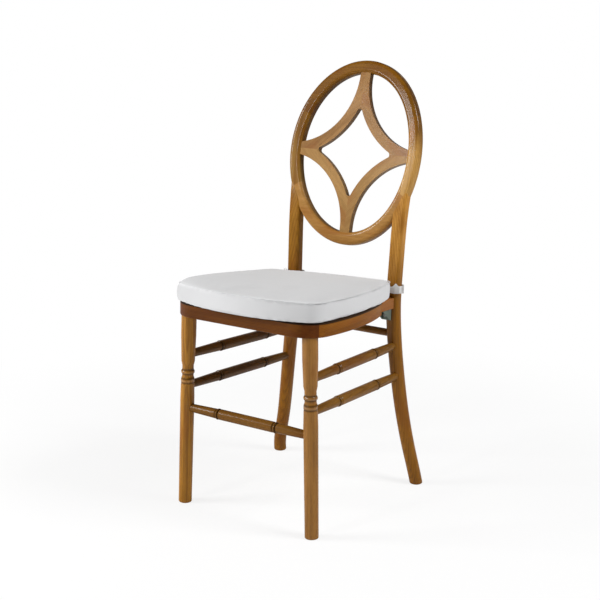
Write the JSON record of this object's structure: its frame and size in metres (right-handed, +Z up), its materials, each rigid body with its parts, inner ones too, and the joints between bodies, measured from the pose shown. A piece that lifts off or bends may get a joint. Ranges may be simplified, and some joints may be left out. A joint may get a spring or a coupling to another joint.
{
  "type": "dining chair",
  "caption": "Wooden dining chair with an oval open star back, turned front legs and stretchers, bent back legs and a strapped boxed seat cushion.",
  "frame": {"origin": "on the floor, under the middle of the chair's outer box", "axes": "+Z up; the front of the chair faces -Y; +X is to the right when one looks at the front of the chair from -Y"},
  "size_m": [0.4054, 0.515, 0.9241],
  "materials": {
    "frame_wood": "golden brown stain under satin lacquer",
    "corner_wood": "darker brown stain under satin lacquer",
    "block_wood": "orange brown stain under satin lacquer",
    "dowel_wood": "plain beech, unfinished",
    "board_wood": "plain plywood",
    "bracket_steel": "grey green zinc primer",
    "screw_steel": "zinc plated",
    "cushion_fabric": "matt white woven cover with piping",
    "strap_fabric": "white webbing"
  },
  "bodies": {
    "root": {"back_leg_left": "frame_wood", "back_leg_right": "frame_wood", "back_stretcher": "frame_wood", "board_screws": "screw_steel", "bracket_screws": "screw_steel", "corner_bracket_left": "bracket_steel", "corner_bracket_right": "bracket_steel", "cushion_strap_left": "strap_fabric", "cushion_strap_right": "strap_fabric", "frame_dowels": "dowel_wood", "front_corner_left": "corner_wood", "front_corner_right": "corner_wood", "front_leg_left": "frame_wood", "front_leg_right": "frame_wood", "front_rail": "frame_wood", "front_stretcher": "frame_wood", "post_dowels": "dowel_wood", "rear_block_left": "block_wood", "rear_block_right": "block_wood", "rear_rail": "frame_wood", "ring_bottom": "frame_wood", "ring_dowels": "dowel_wood", "ring_left": "frame_wood", "ring_right": "frame_wood", "ring_top": "frame_wood", "seat_board": "board_wood", "seat_cushion": "cushion_fabric", "side_rail_left": "frame_wood", "side_rail_right": "frame_wood", "side_stretcher_lower_left": "frame_wood", "side_stretcher_lower_right": "frame_wood", "side_stretcher_upper_left": "frame_wood", "side_stretcher_upper_right": "frame_wood", "star_strip_lower_left": "frame_wood", "star_strip_lower_right": "frame_wood", "star_strip_upper_left": "frame_wood", "star_strip_upper_right": "frame_wood"}
  },
  "joints": []
}
